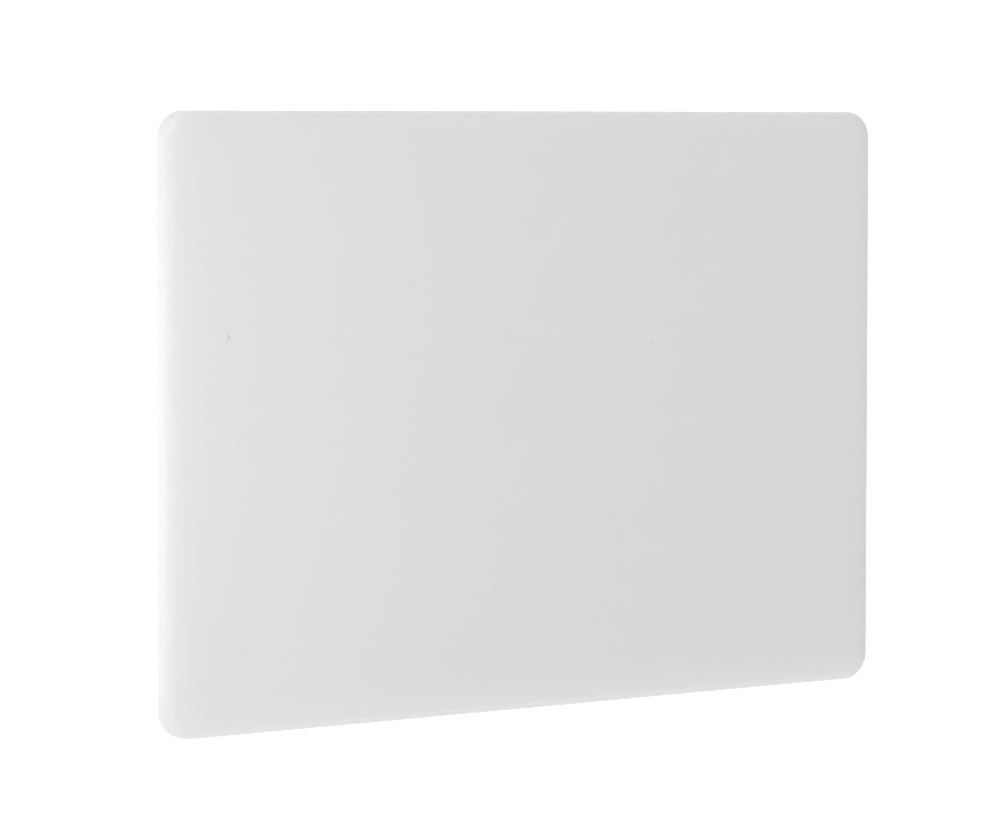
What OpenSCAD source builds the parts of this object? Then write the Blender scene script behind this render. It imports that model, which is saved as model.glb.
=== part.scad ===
// Polyethylene cutting board: one moulded slab, stood on its long edge.
// The slab has no seam, so it is built from cells that meet face to face:
// a centre block, a bar along each of the four sides, and a turned corner
// at each end of every bar. All of them share one edge section.
// Frame: X along the long side, Y through the thickness (the working face
// looks along -Y), Z up. The origin is at the middle of the lower long edge.
// Millimetres.

/* [Board] */
// Length of the long side
board_length = 450; // [150:5:750]
// Height of the short side
board_height = 300; // [100:5:500]
// Thickness of the slab
board_thickness = 12; // [10:0.5:25]

/* [Rounding] */
// Radius of the four corners, seen from the front
corner_radius = 14; // [10:0.5:40]
// Radius of the rounding that runs round both faces
edge_radius = 4; // [1:0.5:4.5]

/* [Hidden] */
$fn = 96;

// Distances from the board's middle to the corner axes
corner_x = board_length / 2 - corner_radius;
corner_z = board_height / 2 - corner_radius;
// Half of the flat stretch of the board's side, between its two roundings
flat_half = board_thickness / 2 - edge_radius;

// Section through the border of the slab, from a corner axis (x = 0) out to
// the side (x = corner_radius), with the thickness along y
module edge_section() {
    depth = corner_radius - edge_radius;
    translate([0, -board_thickness / 2])
        square([depth, board_thickness]);
    translate([0, -flat_half])
        square([corner_radius, 2 * flat_half]);
    for (side = [-1, 1])
        translate([depth, side * flat_half])
            circle(r = edge_radius);
}

// A straight length of border, centred on the origin and running along X,
// with its rounded side looking along +Z
module border_bar(length) {
    rotate([90, 0, 90])
        linear_extrude(height = length, center = true)
            rotate(90)
                edge_section();
}

// A quarter turn of border about the Y axis, from +X round to +Z
module border_corner() {
    rotate([90, 0, 0])
        rotate_extrude(angle = 90)
            edge_section();
}

module board() {
    color([0.92, 0.92, 0.92])
        translate([0, 0, board_height / 2]) {
            cube([2 * corner_x, board_thickness, 2 * corner_z], center = true);
            for (turn = [0, 180])
                rotate([0, turn, 0]) {
                    translate([0, 0, corner_z])
                        border_bar(2 * corner_x);
                    rotate([0, 90, 0])
                        translate([0, 0, corner_x])
                            border_bar(2 * corner_z);
                    translate([corner_x, 0, corner_z])
                        border_corner();
                    translate([corner_x, 0, -corner_z])
                        rotate([0, 90, 0])
                            border_corner();
                }
        }
}

board();
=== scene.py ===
"""White polyethylene cutting board, stood on its long edge.

One moulded slab: two flat faces with a fine diamond grain, sides that are
rounded over all the way round, and a small nick in the working face.
Metres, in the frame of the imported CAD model: X along the long side,
Y through the thickness, Z up. The working face looks along -Y.
"""

import math

import bpy
import numpy as np
from mathutils import Euler, Matrix, Vector


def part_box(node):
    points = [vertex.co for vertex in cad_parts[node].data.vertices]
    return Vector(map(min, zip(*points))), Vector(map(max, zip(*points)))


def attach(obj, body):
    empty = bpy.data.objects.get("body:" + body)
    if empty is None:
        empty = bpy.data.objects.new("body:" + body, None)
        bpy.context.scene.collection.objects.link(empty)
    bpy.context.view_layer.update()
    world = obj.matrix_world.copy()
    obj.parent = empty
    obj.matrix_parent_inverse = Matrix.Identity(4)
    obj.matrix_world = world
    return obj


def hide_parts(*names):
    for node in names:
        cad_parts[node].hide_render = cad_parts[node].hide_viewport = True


MM = 0.001

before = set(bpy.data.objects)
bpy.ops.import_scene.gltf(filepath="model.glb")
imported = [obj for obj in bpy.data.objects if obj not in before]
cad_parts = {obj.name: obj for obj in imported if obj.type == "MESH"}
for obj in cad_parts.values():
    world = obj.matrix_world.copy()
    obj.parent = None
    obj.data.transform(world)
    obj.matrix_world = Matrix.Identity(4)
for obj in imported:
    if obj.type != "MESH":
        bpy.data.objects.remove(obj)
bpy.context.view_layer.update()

# ---------------------------------------------------------------- the board

BOARD_LOW, BOARD_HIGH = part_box("board")
HALF_LENGTH = (BOARD_HIGH.x - BOARD_LOW.x) / 2
HALF_HEIGHT = (BOARD_HIGH.z - BOARD_LOW.z) / 2
HALF_THICKNESS = (BOARD_HIGH.y - BOARD_LOW.y) / 2
MIDDLE_Z = (BOARD_HIGH.z + BOARD_LOW.z) / 2

# As in the CAD model: the outline's corners, and the rounding between face and side
CORNER_RADIUS = 14 * MM
EDGE_RADIUS = 4 * MM
# The flat of each face ends EDGE_RADIUS in from the sides, so its corners are tighter
FLAT_CORNER_RADIUS = CORNER_RADIUS - EDGE_RADIUS
# From the board's middle to the corner axes
AXIS_X = HALF_LENGTH - CORNER_RADIUS
AXIS_Z = HALF_HEIGHT - CORNER_RADIUS

# Mesh: grid spacing on the faces, lines round each corner, rings in each
# rounding, and strips in the flat of the side
GRID_STEP = 4 * MM
CORNER_STEPS = 10
ROUNDING_STEPS = 12
SIDE_STEPS = 2

# The nick is three short grooves that meet at one point. Each runs from there
# to an end given as (along X, along Z), and is as deep as the two shares say,
# at the meeting point and at the end.
NICK_PLACE = (-190.2 * MM, 193.1 * MM)
NICK_LEGS = (
    (-0.1 * MM, 3.0 * MM, 0.5, 0.0),
    (0.95 * MM, -2.4 * MM, 0.95, 0.8),
    (-0.9 * MM, -3.6 * MM, 0.15, 0.45),
)
NICK_HALF_WIDTH = 0.42 * MM
NICK_DEPTH = 0.35 * MM
# Torn plastic stands up beside the grooves, with a painted highlight that makes it whiter near the
# meeting point
NICK_BURR = 0.04 * MM
PAINTED_BURR_HIGHLIGHT = 0.5
BURR_HIGHLIGHT_REACH = 2.5 * MM
# The grid is this fine within these half sizes round the nick. Outside them,
# its spacing grows by this share of the distance until it reaches GRID_STEP.
NICK_GRID_STEP = 0.16 * MM
NICK_GRID_HALF = (2.4 * MM, 5.0 * MM)
GRID_GROWTH = 0.3

# Each face dishes in by this much, less than a tenth of a millimetre, and
# wavers slightly. Both die away at the rim, so the box keeps its size.
FACE_DISH = 0.05 * MM
FACE_WAVER = 0.04 * MM
RIM_FADE = 20 * MM
# The waver's broad and fine waves, in radians per metre along X and Z
BROAD_WAVES = (31, 37)
FINE_WAVES = (67, -23)
FINE_SHARE = 0.5
# Side along Y, and a start for the waves, so that the two faces differ
FACES = ((-1, 0.4), (1, 2.1))


def graded_lines(half, centre=None, fine_half=0.0):
    """Grid lines from -half to half, GRID_STEP apart, and NICK_GRID_STEP apart round centre."""
    lines = [-half]
    while lines[-1] < half:
        step = GRID_STEP
        if centre is not None:
            outside = max(0.0, abs(lines[-1] - centre) - fine_half)
            step = min(step, NICK_GRID_STEP + GRID_GROWTH * outside)
        lines.append(lines[-1] + step)
    stretch = 2 * half / (lines[-1] + half)
    return [-half + (line + half) * stretch for line in lines]


def flat_outline_grid():
    """Places (x, z from the board's middle) of a grid over a face's flat.

    The middle is a plain grid. The border outside the corner axes has
    CORNER_STEPS lines, and in the corners those lines bend into a quarter disc.
    """
    nick_x, nick_z = NICK_PLACE
    middle_x = graded_lines(AXIS_X, nick_x, NICK_GRID_HALF[0])
    middle_z = graded_lines(AXIS_Z, nick_z - MIDDLE_Z, NICK_GRID_HALF[1])
    shares = [(k + 1) / CORNER_STEPS for k in range(CORNER_STEPS)]
    # Each line is (place of the nearest point between the axes, share of the border)
    along_x = [(-AXIS_X, -s) for s in reversed(shares)] + [(x, 0.0) for x in middle_x]
    along_x += [(AXIS_X, s) for s in shares]
    along_z = [(-AXIS_Z, -s) for s in reversed(shares)] + [(z, 0.0) for z in middle_z]
    along_z += [(AXIS_Z, s) for s in shares]
    grid = np.zeros((len(along_x), len(along_z), 4))
    for i, (x, share_x) in enumerate(along_x):
        for j, (z, share_z) in enumerate(along_z):
            out_x = share_x * math.sqrt(1 - share_z ** 2 / 2)
            out_z = share_z * math.sqrt(1 - share_x ** 2 / 2)
            grid[i, j] = (
                x + FLAT_CORNER_RADIUS * out_x,
                z + FLAT_CORNER_RADIUS * out_z,
                out_x,
                out_z,
            )
    return grid


def leg_depth(x, z, leg):
    """(share of the full depth, distance in half widths) of one groove.

    The place (x, z) is counted from the point where the grooves meet.
    """
    end_x, end_z, share_at_start, share_at_end = leg
    along = (x * end_x + z * end_z) / (end_x ** 2 + end_z ** 2)
    along = min(1.0, max(0.0, along))
    across = math.hypot(x - along * end_x, z - along * end_z) / NICK_HALF_WIDTH
    share = share_at_start + (share_at_end - share_at_start) * along
    return share * max(0.0, 1 - across ** 2), across


def nick_profile(x, z):
    """(depth in metres, share of painted shade) of the nick at (x, z from the board's middle).

    Torn plastic beside the grooves gets a negative share, a painted highlight that makes it whiter
    than the face.
    """
    from_x = x - NICK_PLACE[0]
    from_z = z + MIDDLE_Z - NICK_PLACE[1]
    legs = [leg_depth(from_x, from_z, leg) for leg in NICK_LEGS]
    cut = max(share for share, across in legs)
    across = min(across for share, across in legs)
    if 1 < across < 2:
        burr = math.sin(math.pi * (across - 1))
        # A painted highlight on the burr, strongest near the meeting point
        near = max(0.0, 1 - math.hypot(from_x, from_z) / BURR_HIGHLIGHT_REACH)
        return -NICK_BURR * burr, -PAINTED_BURR_HIGHLIGHT * near * burr
    # The groove's depth share is also its share of painted shade
    return NICK_DEPTH * cut, cut


def smooth_step(value):
    value = min(1.0, max(0.0, value))
    return value * value * (3 - 2 * value)


def face_dish(x, z, turn):
    """How far the face at (x, z from the board's middle) lies inside its nominal plane."""
    from_rim = min(
        HALF_LENGTH - EDGE_RADIUS - abs(x),
        HALF_HEIGHT - EDGE_RADIUS - abs(z),
    )
    waver = math.sin(BROAD_WAVES[0] * x + turn) * math.sin(BROAD_WAVES[1] * z + 2 * turn)
    waver += FINE_SHARE * math.sin(FINE_WAVES[0] * x + FINE_WAVES[1] * z + 3 * turn)
    depth = FACE_DISH + FACE_WAVER * (1 + waver / (1 + FINE_SHARE)) / 2
    return depth * smooth_step(from_rim / RIM_FADE)


def rim_loop(columns, rows):
    """The grid's outer (i, j) places in order, once round the board."""
    loop = [(i, 0) for i in range(columns)]
    loop += [(columns - 1, j) for j in range(1, rows)]
    loop += [(i, rows - 1) for i in range(columns - 2, -1, -1)]
    loop += [(0, j) for j in range(rows - 2, 0, -1)]
    return loop


def rim_rings():
    """(distance out from the flat's outline, y) of each ring between the two faces' outlines."""
    side_half = HALF_THICKNESS - EDGE_RADIUS
    rings = []
    for k in range(1, ROUNDING_STEPS + 1):
        turn = math.pi / 2 * k / ROUNDING_STEPS
        rings.append((EDGE_RADIUS * math.sin(turn), -side_half - EDGE_RADIUS * math.cos(turn)))
    for k in range(1, SIDE_STEPS):
        rings.append((EDGE_RADIUS, -side_half + 2 * side_half * k / SIDE_STEPS))
    return rings + [(out, -y) for out, y in reversed(rings[:ROUNDING_STEPS])]


def build_board():
    """The whole slab as one closed mesh of four-sided faces."""
    grid = flat_outline_grid()
    columns, rows = grid.shape[:2]
    points = []
    painted_nick_values = []
    rim_normals = {}
    for side, turn in FACES:
        for i in range(columns):
            for j in range(rows):
                x, z = grid[i, j, :2]
                depth, painted_nick_light = nick_profile(x, z) if side < 0 else (0.0, 0.0)
                inside = face_dish(x, z, turn) + depth
                points.append((x, side * (HALF_THICKNESS - inside), z + MIDDLE_Z))
                painted_nick_values.append(painted_nick_light)
    loop = rim_loop(columns, rows)
    side_half = HALF_THICKNESS - EDGE_RADIUS
    for out, y in rim_rings():
        lean = max(-1.0, min(1.0, (abs(y) - side_half) / EDGE_RADIUS))
        along_y = math.copysign(max(0.0, lean), y)
        outward = math.sqrt(1 - along_y ** 2)
        for i, j in loop:
            x, z, out_x, out_z = grid[i, j]
            length = math.hypot(out_x, out_z)
            out_x, out_z = out_x / length, out_z / length
            rim_normals[len(points)] = (outward * out_x, along_y, outward * out_z)
            points.append((x + out * out_x, y, z + MIDDLE_Z + out * out_z))
            painted_nick_values.append(0.0)
    for i, j in loop:
        rim_normals[i * rows + j] = (0.0, -1.0, 0.0)
        rim_normals[columns * rows + i * rows + j] = (0.0, 1.0, 0.0)

    quads = []
    back_start = columns * rows
    for i in range(columns - 1):
        for j in range(rows - 1):
            a = i * rows + j
            front = (a, a + rows, a + rows + 1, a + 1)
            quads.append(front)
            quads.append(tuple(back_start + p for p in reversed(front)))
    rims = [[i * rows + j for i, j in loop]]
    for k in range(len(rim_rings())):
        start = 2 * back_start + k * len(loop)
        rims.append(list(range(start, start + len(loop))))
    rims.append([back_start + i * rows + j for i, j in loop])
    for front_rim, back_rim in zip(rims, rims[1:]):
        for k in range(len(loop)):
            after = (k + 1) % len(loop)
            quads.append((front_rim[k], back_rim[k], back_rim[after], front_rim[after]))

    mesh = bpy.data.meshes.new("board_surface")
    mesh.from_pydata(points, [], quads)
    mesh.polygons.foreach_set("use_smooth", [True] * len(mesh.polygons))
    # Carries the nick's painted shade and painted highlight to the material
    painted_nick_light = mesh.attributes.new("painted_nick_light", "FLOAT", "POINT")
    painted_nick_light.data.foreach_set("value", painted_nick_values)
    mesh.update()
    # The roundings get the true normals of their curve, so their shine has no steps
    normals = [tuple(normal.vector) for normal in mesh.vertex_normals]
    for place, normal in rim_normals.items():
        normals[place] = normal
    mesh.normals_split_custom_set_from_vertices(normals)
    board = bpy.data.objects.new("board_surface", mesh)
    bpy.context.scene.collection.objects.link(board)
    return board


# ------------------------------------------------------------- the material

PLASTIC_COLOR = (0.82, 0.82, 0.82, 1.0)
PLASTIC_IOR = 1.54
# How far light wanders inside the plastic, which makes its edges glow
LIGHT_REACH = 60 * MM
# The colour is cloudy by this share, and full painted shade in the nick is darker by this share
CLOUDINESS = 0.005
CLOUD_SCALE = 18.0
CLOUD_SPREAD = (0.25, 0.75)
PAINTED_GROOVE_SHADE = 0.45

# The faces are satin. The satin begins at the first of these depths below a
# face's plane, in the rounding, and is full at the second.
SATIN_DEPTHS = (0.8 * MM, 0.1 * MM)
FACE_ROUGHNESS = 0.46
EDGE_ROUGHNESS = 0.14
# Handling has made the roughness uneven by this much either way
RUB = 0.04
RUB_SCALE = 60.0
SHINE = 0.42

# The grain is two families of fine ridges that cross in diamonds
GRAIN_PITCH = 1.23 * MM
GRAIN_TILT = math.radians(32.4)
GRAIN_HEIGHT = 0.0055 * MM
# The ridges wander by up to this many radians, and are shallower in patches
GRAIN_WANDER = 1.5
GRAIN_WANDER_SCALE = 400.0
GRAIN_PATCH_SCALE = 45.0
SHALLOWEST_GRAIN = 0.35
# A finer tooth lies over the grain
TOOTH_HEIGHT = 0.001 * MM
TOOTH_SCALE = 900.0
# The part of the noise's values that the patches and the rubbing stretch over
NOISE_SPREAD = (0.3, 0.7)

# Each speck is evenly dark in this share of its radius, and fades out from there
SPECK_CORE = 0.25
# Specks in the working face: (X, Z, radius) in millimetres, and how dark
SPECKS = (
    (73.3, 181.8, 0.95, 0.26),
    (-93.2, 148.5, 1.6, 0.035),
    (-143.2, 289.4, 1.2, 0.03),
    (-175.8, 238.8, 1.2, 0.02),
    (7.4, 180.0, 1.3, 0.02),
    (59.5, 204.0, 1.3, 0.02),
    (65.0, 158.0, 1.3, 0.02),
    (166.2, 159.9, 1.3, 0.02),
    (102.4, 13.2, 1.2, 0.02),
    (211.5, 21.8, 1.2, 0.03),
    (-181.6, 38.7, 1.2, 0.02),
    (-199.2, 23.1, 1.2, 0.02),
)


# Inputs A and B of a mix node, for numbers and for colours
MIX_NUMBERS = (2, 3)
MIX_COLORS = (6, 7)


class Nodes:
    """A short way to add and link the nodes of one material or world."""

    def __init__(self, owner):
        owner.use_nodes = True
        self.tree = owner.node_tree
        self.tree.nodes.clear()

    def add(self, kind, inputs=None, **settings):
        node = self.tree.nodes.new(kind)
        for name, value in settings.items():
            setattr(node, name, value)
        for key, value in (inputs or {}).items():
            socket = node.inputs[key]
            if isinstance(value, bpy.types.NodeSocket):
                self.tree.links.new(value, socket)
            else:
                socket.default_value = value
        return node

    def math(self, operation, a, b=0.0, c=0.0, clamp=False):
        inputs = {0: a, 1: b, 2: c}
        node = self.add("ShaderNodeMath", inputs, operation=operation, use_clamp=clamp)
        return node.outputs[0]

    def ramp(self, value, from_low, from_high, to_low, to_high, smooth=True):
        node = self.add(
            "ShaderNodeMapRange",
            {
                "Value": value,
                "From Min": from_low,
                "From Max": from_high,
                "To Min": to_low,
                "To Max": to_high,
            },
            interpolation_type="SMOOTHSTEP" if smooth else "LINEAR",
        )
        return node.outputs["Result"]

    def noise(self, place, scale, detail=2.0):
        node = self.add(
            "ShaderNodeTexNoise",
            {"Vector": place, "Scale": scale, "Detail": detail},
        )
        return node.outputs["Fac"]


def grain_height(nodes, place):
    """Height of the moulded grain, from -1 to 1: two families of ridges, unevenly deep."""
    parts = nodes.add("ShaderNodeSeparateXYZ", {0: place})
    wander = nodes.math("MULTIPLY", nodes.noise(place, GRAIN_WANDER_SCALE), GRAIN_WANDER)
    families = []
    for side in (-1, 1):
        run_x = side * math.sin(GRAIN_TILT) * 2 * math.pi / GRAIN_PITCH
        run_z = math.cos(GRAIN_TILT) * 2 * math.pi / GRAIN_PITCH
        phase = nodes.math(
            "ADD",
            nodes.math("MULTIPLY", parts.outputs["X"], run_x),
            nodes.math("MULTIPLY", parts.outputs["Z"], run_z),
        )
        families.append(nodes.math("SINE", nodes.math("ADD", phase, wander)))
    both = nodes.math("MULTIPLY", nodes.math("ADD", *families), 0.5)
    patches = nodes.noise(place, GRAIN_PATCH_SCALE)
    patchy = nodes.ramp(patches, *NOISE_SPREAD, SHALLOWEST_GRAIN, 1.0)
    return nodes.math("MULTIPLY", both, patchy)


def speck_shade(nodes, place):
    """Brightness left by the specks: 1 on plastic without specks."""
    shade = 1.0
    for x, z, radius, darkness in SPECKS:
        centre = (x * MM, -HALF_THICKNESS, z * MM)
        away = nodes.add("ShaderNodeVectorMath", {0: place, 1: centre}, operation="DISTANCE")
        reach = radius * MM
        spot = nodes.ramp(away.outputs["Value"], SPECK_CORE * reach, reach, 1 - darkness, 1.0)
        shade = nodes.math("MULTIPLY", spot, shade)
    return shade


def polyethylene():
    """White high-density polyethylene: translucent, satin on the faces, smoother at the edges."""
    material = bpy.data.materials.new("white_polyethylene")
    nodes = Nodes(material)
    place = nodes.add("ShaderNodeTexCoord").outputs["Object"]
    parts = nodes.add("ShaderNodeSeparateXYZ", {0: place})
    across = nodes.math("ABSOLUTE", parts.outputs["Y"])
    satin_start, satin_full = [HALF_THICKNESS - depth for depth in SATIN_DEPTHS]
    on_face = nodes.ramp(across, satin_start, satin_full, 0.0, 1.0)

    # Painted shade in the nick's grooves and a painted highlight on its burr, carried by the mesh
    painted_nick_light = nodes.add("ShaderNodeAttribute", attribute_name="painted_nick_light").outputs["Fac"]
    nick_shading = nodes.math("SUBTRACT", 1.0, nodes.math("MULTIPLY", painted_nick_light, PAINTED_GROOVE_SHADE))
    clouds = nodes.noise(place, CLOUD_SCALE, 3.0)
    mottle = nodes.ramp(clouds, *CLOUD_SPREAD, 1 - CLOUDINESS, 1 + CLOUDINESS)
    shade = nodes.math("MULTIPLY", nodes.math("MULTIPLY", speck_shade(nodes, place), nick_shading), mottle)
    first, second = MIX_COLORS
    color = nodes.add(
        "ShaderNodeMix",
        {"Factor": 1.0, first: PLASTIC_COLOR, second: shade},
        data_type="RGBA",
        blend_type="MULTIPLY",
    )

    roughness = nodes.ramp(on_face, 0.0, 1.0, EDGE_ROUGHNESS, FACE_ROUGHNESS, smooth=False)
    rub = nodes.ramp(nodes.noise(place, RUB_SCALE, 4.0), *NOISE_SPREAD, -RUB, RUB)
    uneven_roughness = nodes.math("ADD", roughness, rub, clamp=True)

    grain = nodes.math("MULTIPLY", grain_height(nodes, place), on_face)
    moulded = nodes.add(
        "ShaderNodeBump",
        {"Height": grain, "Distance": GRAIN_HEIGHT, "Strength": 1.0},
    )
    tooth = nodes.math("MULTIPLY", nodes.noise(place, TOOTH_SCALE, 3.0), on_face)
    toothed = nodes.add(
        "ShaderNodeBump",
        {
            "Height": tooth,
            "Distance": TOOTH_HEIGHT,
            "Strength": 1.0,
            "Normal": moulded.outputs["Normal"],
        },
    )

    plastic = nodes.add(
        "ShaderNodeBsdfPrincipled",
        {
            "Base Color": color.outputs[2],
            "Roughness": uneven_roughness,
            "Normal": toothed.outputs["Normal"],
            "IOR": PLASTIC_IOR,
            "Specular IOR Level": SHINE,
            "Subsurface Weight": 1.0,
            "Subsurface Radius": (1.0, 1.0, 1.0),
            "Subsurface Scale": LIGHT_REACH,
        },
    )
    nodes.add("ShaderNodeOutputMaterial", {"Surface": plastic.outputs[0]})
    return material


# ------------------------------------------------------ floor, light, camera

FLOOR_RADIUS = 60.0
FLOOR_STEPS = 96
FLOOR_COLOR = (0.10, 0.10, 0.10, 1.0)
FLOOR_ROUGHNESS = 0.9
# How much the floor glows on the board, and how much where it is seen itself
FLOOR_GLOW = 0.80
FLOOR_SEEN_GLOW = 1.10

# Brightness of the white room towards each side of the board
ROOM_LEVELS = {
    "left": 0.0,
    "right": 0.0,
    "front": 0.24,
    "back": 0.25,
    "above": 1.20,
}
# Brightness of the room where the board mirrors it, and where it is seen itself
MIRRORED_ROOM_LEVEL = 0.85
SEEN_ROOM_LEVEL = 1.3

# Softboxes, all aimed at the board's middle. Azimuth is in degrees from the
# working face's side towards the left. Two light the board without being
# mirrored in it. The strip is only mirrored, as a thin highlight on the top
# left corner. The side panel does both, and brightens the left side.
SOFTBOXES = {
    "key": {
        "azimuth": 34, "elevation": 34, "distance": 2.2,
        "width": 0.30, "height": 1.10, "level": 5.4,
        "lights": True, "mirrored": False,
    },
    "strip": {
        "azimuth": 35, "elevation": 37, "distance": 2.2,
        "width": 0.80, "height": 1.15, "level": 3.4,
        "lights": False, "mirrored": True,
    },
    "left": {
        "azimuth": 95, "elevation": 5, "distance": 0.9,
        "width": 0.80, "height": 0.80, "level": 1.06,
        "lights": True, "mirrored": False,
    },
    "side_panel": {
        "azimuth": 114, "elevation": 0, "distance": 0.35,
        "width": 0.20, "height": 0.30, "level": 0.58,
        "lights": True, "mirrored": True,
    },
}

CAMERA_PLACE = Vector((-1.562, -1.9508, 0.2952))
CAMERA_YAW = 38.322
CAMERA_DOWN = 3.376
CAMERA_ROLL = 0.05
CAMERA_LENS = 179.35
CAMERA_SENSOR = 36.0
CAMERA_CLIP_START = 0.05


def build_floor():
    """A plain pale floor that glows a little, as a light table does."""
    ring = [2 * math.pi * k / FLOOR_STEPS for k in range(FLOOR_STEPS)]
    points = [(FLOOR_RADIUS * math.cos(t), FLOOR_RADIUS * math.sin(t), 0.0) for t in ring]
    mesh = bpy.data.meshes.new("floor")
    mesh.from_pydata(points, [], [tuple(range(FLOOR_STEPS))])
    floor = bpy.data.objects.new("floor", mesh)
    bpy.context.scene.collection.objects.link(floor)
    material = bpy.data.materials.new("floor")
    nodes = Nodes(material)
    seen = nodes.add("ShaderNodeLightPath").outputs["Is Camera Ray"]
    glow = nodes.math("MULTIPLY_ADD", seen, FLOOR_SEEN_GLOW - FLOOR_GLOW, FLOOR_GLOW)
    surface = nodes.add(
        "ShaderNodeBsdfPrincipled",
        {
            "Base Color": FLOOR_COLOR,
            "Roughness": FLOOR_ROUGHNESS,
            "Specular IOR Level": 0.0,
            "Emission Color": (1.0, 1.0, 1.0, 1.0),
            "Emission Strength": glow,
        },
    )
    nodes.add("ShaderNodeOutputMaterial", {"Surface": surface.outputs[0]})
    mesh.materials.append(material)


def build_world(levels):
    """A white room that lights the board as levels says, and looks evenly white itself."""
    world = bpy.data.worlds.new("studio")
    bpy.context.scene.world = world
    nodes = Nodes(world)
    toward = nodes.add("ShaderNodeTexCoord").outputs["Generated"]
    parts = nodes.add("ShaderNodeSeparateXYZ", {0: toward}).outputs
    sides = (
        (parts["X"], levels["left"], levels["right"]),
        (parts["Y"], levels["front"], levels["back"]),
        (parts["Z"], levels["above"], levels["above"]),
    )
    room = 0.0
    for along, level_before, level_after in sides:
        # The squares of the three parts add up to 1, so the levels blend smoothly
        share = nodes.math("MULTIPLY", along, along)
        ahead = nodes.math("GREATER_THAN", along, 0.0)
        level = nodes.math("MULTIPLY_ADD", ahead, level_after - level_before, level_before)
        room = nodes.math("MULTIPLY_ADD", share, level, room)
    ray = nodes.add("ShaderNodeLightPath").outputs
    first, second = MIX_NUMBERS
    lit = {"Factor": ray["Is Glossy Ray"], first: room, second: MIRRORED_ROOM_LEVEL}
    mirrored = nodes.add("ShaderNodeMix", lit).outputs[0]
    looks = {"Factor": ray["Is Camera Ray"], first: mirrored, second: SEEN_ROOM_LEVEL}
    strength = nodes.add("ShaderNodeMix", looks)
    background = nodes.add(
        "ShaderNodeBackground",
        {"Color": (1.0, 1.0, 1.0, 1.0), "Strength": strength.outputs[0]},
    )
    nodes.add("ShaderNodeOutputWorld", {"Surface": background.outputs[0]})


def add_softbox(name, azimuth, elevation, distance, width, height, level, lights, mirrored):
    """A soft light aimed at the board's middle."""
    turn = math.radians(azimuth)
    rise = math.radians(elevation)
    out = Vector((
        -math.sin(turn) * math.cos(rise),
        -math.cos(turn) * math.cos(rise),
        math.sin(rise),
    ))
    data = bpy.data.lights.new(name, "AREA")
    data.shape = "RECTANGLE"
    data.size = width
    data.size_y = height
    # The power that makes the lamp's face as bright as level
    data.energy = level * math.pi * width * height
    lamp = bpy.data.objects.new(name, data)
    lamp.location = out * distance + Vector((0.0, 0.0, MIDDLE_Z))
    lamp.rotation_mode = "QUATERNION"
    lamp.rotation_quaternion = out.to_track_quat("Z", "Y")
    lamp.visible_camera = False
    lamp.visible_diffuse = lights
    lamp.visible_glossy = mirrored
    bpy.context.scene.collection.objects.link(lamp)


def build_camera():
    data = bpy.data.cameras.new("camera")
    data.sensor_width = CAMERA_SENSOR
    data.lens = CAMERA_LENS
    data.clip_start = CAMERA_CLIP_START
    data.clip_end = 2 * FLOOR_RADIUS
    camera = bpy.data.objects.new("camera", data)
    level = Euler((math.radians(90 - CAMERA_DOWN), 0.0, math.radians(-CAMERA_YAW))).to_matrix()
    roll = Matrix.Rotation(math.radians(CAMERA_ROLL), 3, "Z")
    camera.rotation_euler = (level @ roll).to_euler()
    camera.location = CAMERA_PLACE
    bpy.context.scene.collection.objects.link(camera)
    bpy.context.scene.camera = camera


build_camera()
board_surface = build_board()
board_surface.data.materials.append(polyethylene())
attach(board_surface, "root")
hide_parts("board")

build_floor()
build_world(ROOM_LEVELS)
for box_name, box_setting in SOFTBOXES.items():
    add_softbox(box_name, **box_setting)
bpy.context.scene.view_settings.view_transform = "Standard"
